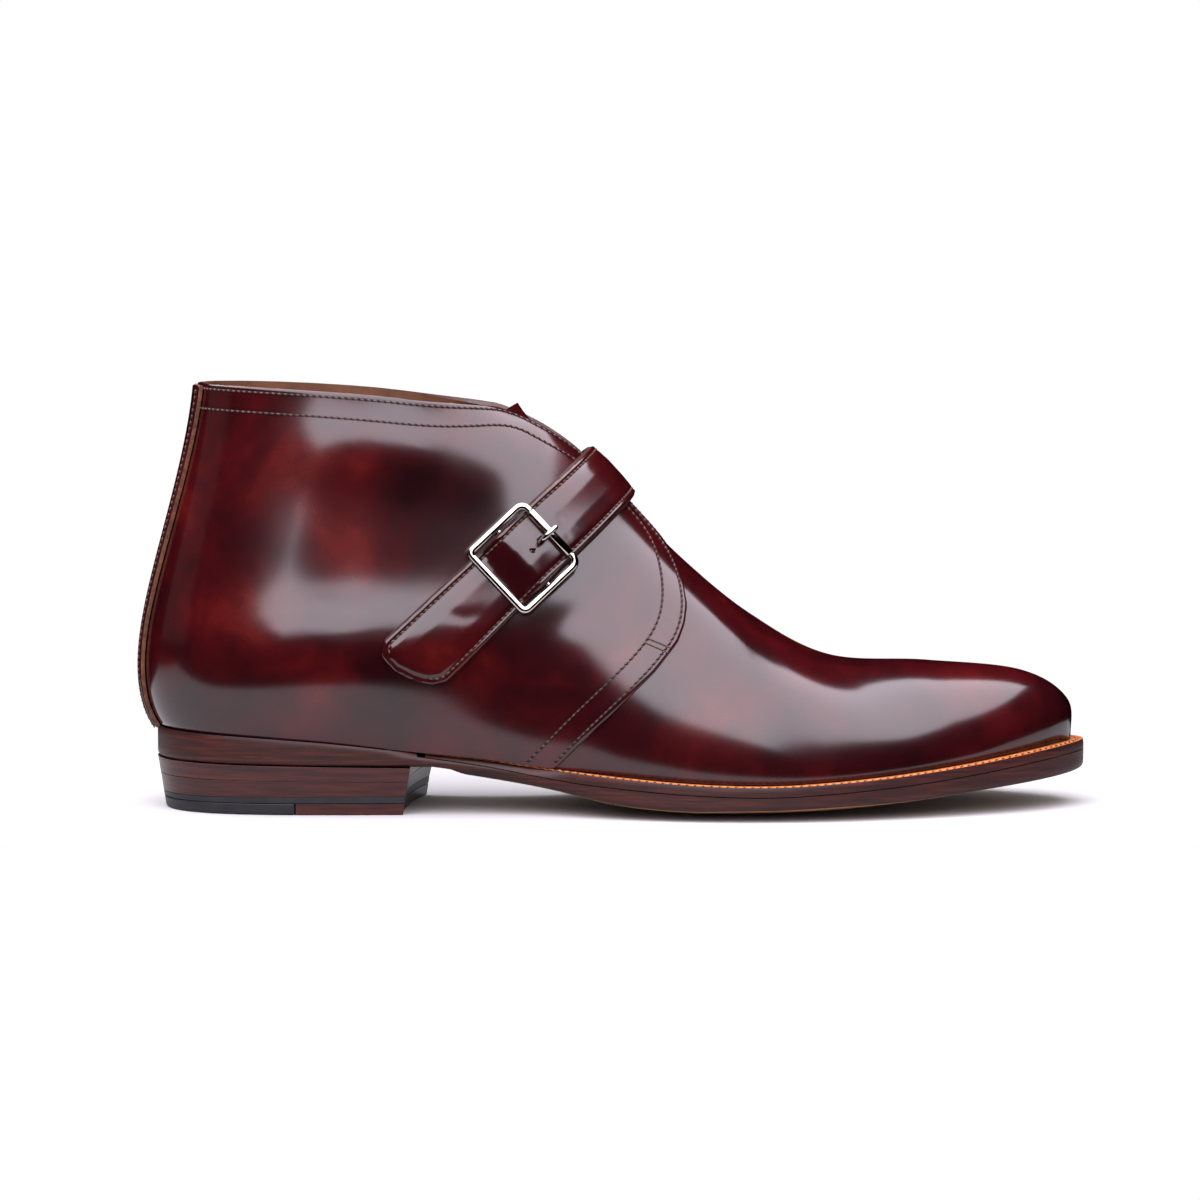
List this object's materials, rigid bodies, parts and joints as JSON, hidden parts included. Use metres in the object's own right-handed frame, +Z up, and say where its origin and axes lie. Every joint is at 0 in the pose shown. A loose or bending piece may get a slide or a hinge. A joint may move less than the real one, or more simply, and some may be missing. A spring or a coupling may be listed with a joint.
{
  "type": "chukka boot",
  "caption": "Man's right chukka boot in burgundy leather with one strap and a buckle, hollow upper, welted leather sole and stacked heel.",
  "frame": {"origin": "middle of the heel's flat bottom, on the plane the boot stands on", "axes": "+X towards the toe, +Y to the inner (medial) side, +Z up"},
  "size_m": [0.3077, 0.1027, 0.1374],
  "materials": {
    "buckle_metal": "polished nickel plate",
    "burgundy_leather": "polished",
    "heel_rubber": "matt",
    "lining_leather": "matt",
    "sole_leather": "polished",
    "welt_leather": "satin"
  },
  "bodies": {
    "root": {"backstay": "burgundy_leather", "buckle_frame": "buckle_metal", "buckle_prong": "buckle_metal", "buckle_roller": "buckle_metal", "heel_cap_rubber": "heel_rubber", "heel_lift_lower": "sole_leather", "heel_lift_upper": "sole_leather", "heel_tip_leather": "sole_leather", "heel_tip_rubber": "heel_rubber", "insole": "lining_leather", "outsole": "sole_leather", "strap": "burgundy_leather", "tongue": "lining_leather", "upper": "burgundy_leather", "welt": "welt_leather"}
  },
  "joints": []
}
